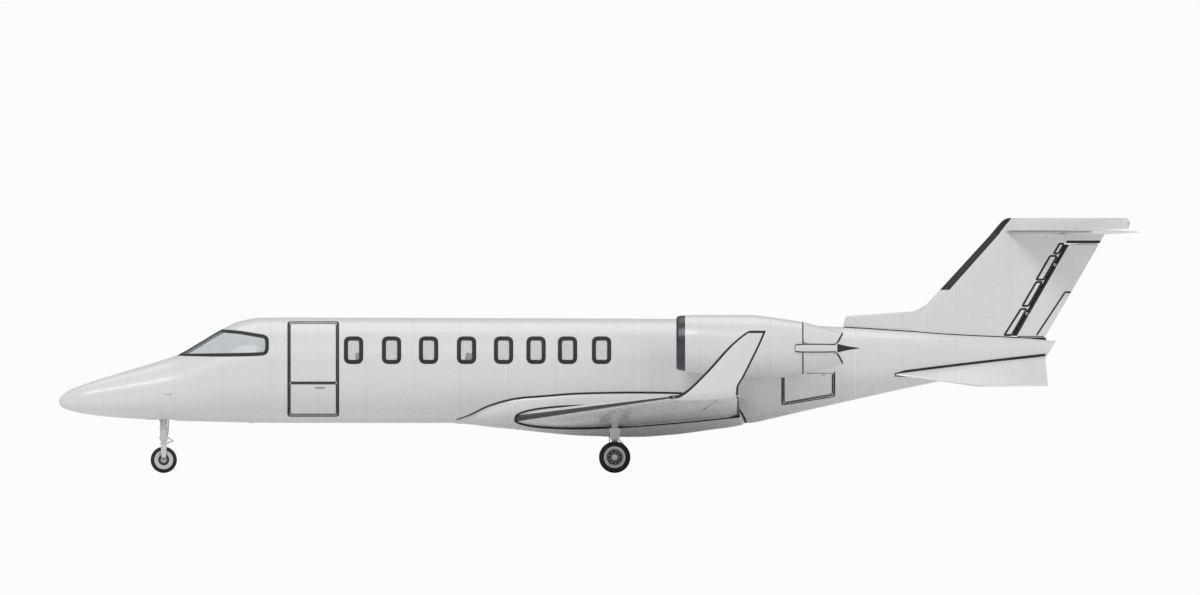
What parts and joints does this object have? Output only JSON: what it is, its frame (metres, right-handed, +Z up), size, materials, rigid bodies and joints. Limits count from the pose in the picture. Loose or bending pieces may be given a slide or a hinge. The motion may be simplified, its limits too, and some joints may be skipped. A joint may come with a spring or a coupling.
{
  "type": "light business jet",
  "caption": "Low-wing business jet with swept wings and winglets, rear engines on pylons, high tail, hollow cabin with an airstair door, on its gear.",
  "frame": {"origin": "on the ground under the middle of the overall length and span", "axes": "nose towards -X, left side towards -Y, +Z up"},
  "size_m": [17.728, 14.6114, 4.182],
  "materials": {
    "skin": "gloss white paint over aluminium skin",
    "composite": "gloss white paint over composite",
    "glazing": "clear stretched acrylic and glass",
    "gear_metal": "painted and plated gear metal",
    "engine_metal": "bare turned metal",
    "tyre": "matt black tread rubber",
    "lining": "carpeted floor boards",
    "panel": "matt black moulding",
    "leather": "pale upholstery"
  },
  "bodies": {
    "airframe": {"radome": "composite", "forward_fuselage": "skin", "cabin_shell": "skin", "aft_fuselage": "skin", "tail_cone": "skin", "wing_body_fairing": "composite", "cabin_floor": "lining", "instrument_panel": "panel", "fin": "composite", "fin_cap": "composite", "stabilizer": "composite", "nose_leg": "gear_metal", "windshield_right": "glazing", "window_row_right": "glazing", "wing_right": "skin", "winglet_right": "composite", "ventral_fin_right": "composite", "nacelle_right": "composite", "pylon_right": "composite", "engine_core_right": "engine_metal", "main_leg_right": "gear_metal", "pilot_seat_right": "leather", "cabin_seats_right": "leather", "windshield_left": "glazing", "window_row_left": "glazing", "wing_left": "skin", "winglet_left": "composite", "ventral_fin_left": "composite", "nacelle_left": "composite", "pylon_left": "composite", "engine_core_left": "engine_metal", "main_leg_left": "gear_metal", "pilot_seat_left": "leather", "cabin_seats_left": "leather"},
    "upper_door": {"door_upper": "skin"},
    "lower_door": {"door_lower": "skin"},
    "baggage_hatch": {"baggage_door": "skin"},
    "rudder_surface": {"rudder": "composite"},
    "steering_fork": {"nose_fork": "gear_metal"},
    "nose_wheel": {"nose_rim": "gear_metal", "nose_tyre": "tyre"},
    "main_wheels_right": {"main_wheel_pair_right": "gear_metal", "main_tyre_outer_right": "tyre", "main_tyre_inner_right": "tyre"},
    "fan_rotor_right": {"fan_right": "engine_metal"},
    "flap_surface_right": {"flap_right": "skin"},
    "aileron_surface_right": {"aileron_right": "skin"},
    "elevator_surface_right": {"elevator_right": "composite"},
    "upper_bucket_right": {"reverser_upper_right": "composite"},
    "lower_bucket_right": {"reverser_lower_right": "composite"},
    "main_wheels_left": {"main_wheel_pair_left": "gear_metal", "main_tyre_outer_left": "tyre", "main_tyre_inner_left": "tyre"},
    "fan_rotor_left": {"fan_left": "engine_metal"},
    "flap_surface_left": {"flap_left": "skin"},
    "aileron_surface_left": {"aileron_left": "skin"},
    "elevator_surface_left": {"elevator_left": "composite"},
    "upper_bucket_left": {"reverser_upper_left": "composite"},
    "lower_bucket_left": {"reverser_lower_left": "composite"}
  },
  "joints": [
    {"name": "upper_door_hinge", "type": "hinge", "parent": "airframe", "child": "upper_door", "pos_m": [-4.6945, -0.35694, 2.4655], "axis": [-1, 0, 0], "range_deg": [0, 90]},
    {"name": "lower_door_hinge", "type": "hinge", "parent": "airframe", "child": "lower_door", "pos_m": [-4.6945, -0.43124, 0.9455], "axis": [1, 0, 0], "range_deg": [0, 98]},
    {"name": "baggage_hinge", "type": "hinge", "parent": "airframe", "child": "baggage_hatch", "pos_m": [3.1746, -0.49056, 1.1615], "axis": [0.9799, 0.1113, 0.1657], "range_deg": [0, 110]},
    {"name": "rudder_hinge", "type": "hinge", "parent": "airframe", "child": "rudder_surface", "pos_m": [6.831, 0, 2.247], "axis": [0.4962, 0, 0.8682], "range_deg": [-30, 30]},
    {"name": "nose_steering", "type": "hinge", "parent": "airframe", "child": "steering_fork", "pos_m": [-7.146, 0, 0.5], "axis": [0, 0, 1], "range_deg": [-60, 60]},
    {"name": "nose_wheel_spin", "type": "hinge", "parent": "steering_fork", "child": "nose_wheel", "pos_m": [-7.146, 0, 0.216], "axis": [0, 1, 0], "continuous": true},
    {"name": "main_wheels_spin_right", "type": "hinge", "parent": "airframe", "child": "main_wheels_right", "pos_m": [0.249, 1.425, 0.258], "axis": [0, 1, 0], "continuous": true},
    {"name": "fan_spin_right", "type": "hinge", "parent": "airframe", "child": "fan_rotor_right", "pos_m": [1.83, 1.56, 2.066], "axis": [1, 0, 0], "continuous": true},
    {"name": "flap_hinge_right", "type": "hinge", "parent": "airframe", "child": "flap_surface_right", "pos_m": [1.44417, 0.905, 0.8904], "axis": [0.091, 0.9943, 0.0563], "range_deg": [0, 40]},
    {"name": "aileron_hinge_right", "type": "hinge", "parent": "airframe", "child": "aileron_surface_right", "pos_m": [1.75214, 4.268, 1.11216], "axis": [0.0911, 0.9947, 0.0475], "range_deg": [-20, 20]},
    {"name": "elevator_hinge_right", "type": "hinge", "parent": "airframe", "child": "elevator_surface_right", "pos_m": [7.91694, 0.15, 3.952], "axis": [0.2752, 0.9614, 0], "range_deg": [-17, 15]},
    {"name": "upper_bucket_hinge_right", "type": "hinge", "parent": "airframe", "child": "upper_bucket_right", "pos_m": [3.9, 1.56, 2.092], "axis": [0, 1, 0], "range_deg": [0, 72]},
    {"name": "lower_bucket_hinge_right", "type": "hinge", "parent": "airframe", "child": "lower_bucket_right", "pos_m": [3.9, 1.56, 2.002], "axis": [0, -1, 0], "range_deg": [0, 72]},
    {"name": "main_wheels_spin_left", "type": "hinge", "parent": "airframe", "child": "main_wheels_left", "pos_m": [0.249, -1.425, 0.258], "axis": [0, 1, 0], "continuous": true},
    {"name": "fan_spin_left", "type": "hinge", "parent": "airframe", "child": "fan_rotor_left", "pos_m": [1.83, -1.56, 2.066], "axis": [1, 0, 0], "continuous": true},
    {"name": "flap_hinge_left", "type": "hinge", "parent": "airframe", "child": "flap_surface_left", "pos_m": [1.44417, -0.905, 0.8904], "axis": [-0.091, 0.9943, -0.0563], "range_deg": [0, 40]},
    {"name": "aileron_hinge_left", "type": "hinge", "parent": "airframe", "child": "aileron_surface_left", "pos_m": [1.75214, -4.268, 1.11216], "axis": [-0.0911, 0.9947, -0.0475], "range_deg": [-20, 20]},
    {"name": "elevator_hinge_left", "type": "hinge", "parent": "airframe", "child": "elevator_surface_left", "pos_m": [7.91694, -0.15, 3.952], "axis": [-0.2752, 0.9614, 0], "range_deg": [-17, 15]},
    {"name": "upper_bucket_hinge_left", "type": "hinge", "parent": "airframe", "child": "upper_bucket_left", "pos_m": [3.9, -1.56, 2.092], "axis": [0, 1, 0], "range_deg": [0, 72]},
    {"name": "lower_bucket_hinge_left", "type": "hinge", "parent": "airframe", "child": "lower_bucket_left", "pos_m": [3.9, -1.56, 2.002], "axis": [0, -1, 0], "range_deg": [0, 72]}
  ],
  "couplings": [
    {"joint": "lower_bucket_hinge_right", "follows": "upper_bucket_hinge_right", "ratio": 1},
    {"joint": "lower_bucket_hinge_left", "follows": "upper_bucket_hinge_left", "ratio": 1},
    {"joint": "flap_hinge_left", "follows": "flap_hinge_right", "ratio": 1},
    {"joint": "aileron_hinge_left", "follows": "aileron_hinge_right", "ratio": -1},
    {"joint": "elevator_hinge_left", "follows": "elevator_hinge_right", "ratio": 1}
  ]
}
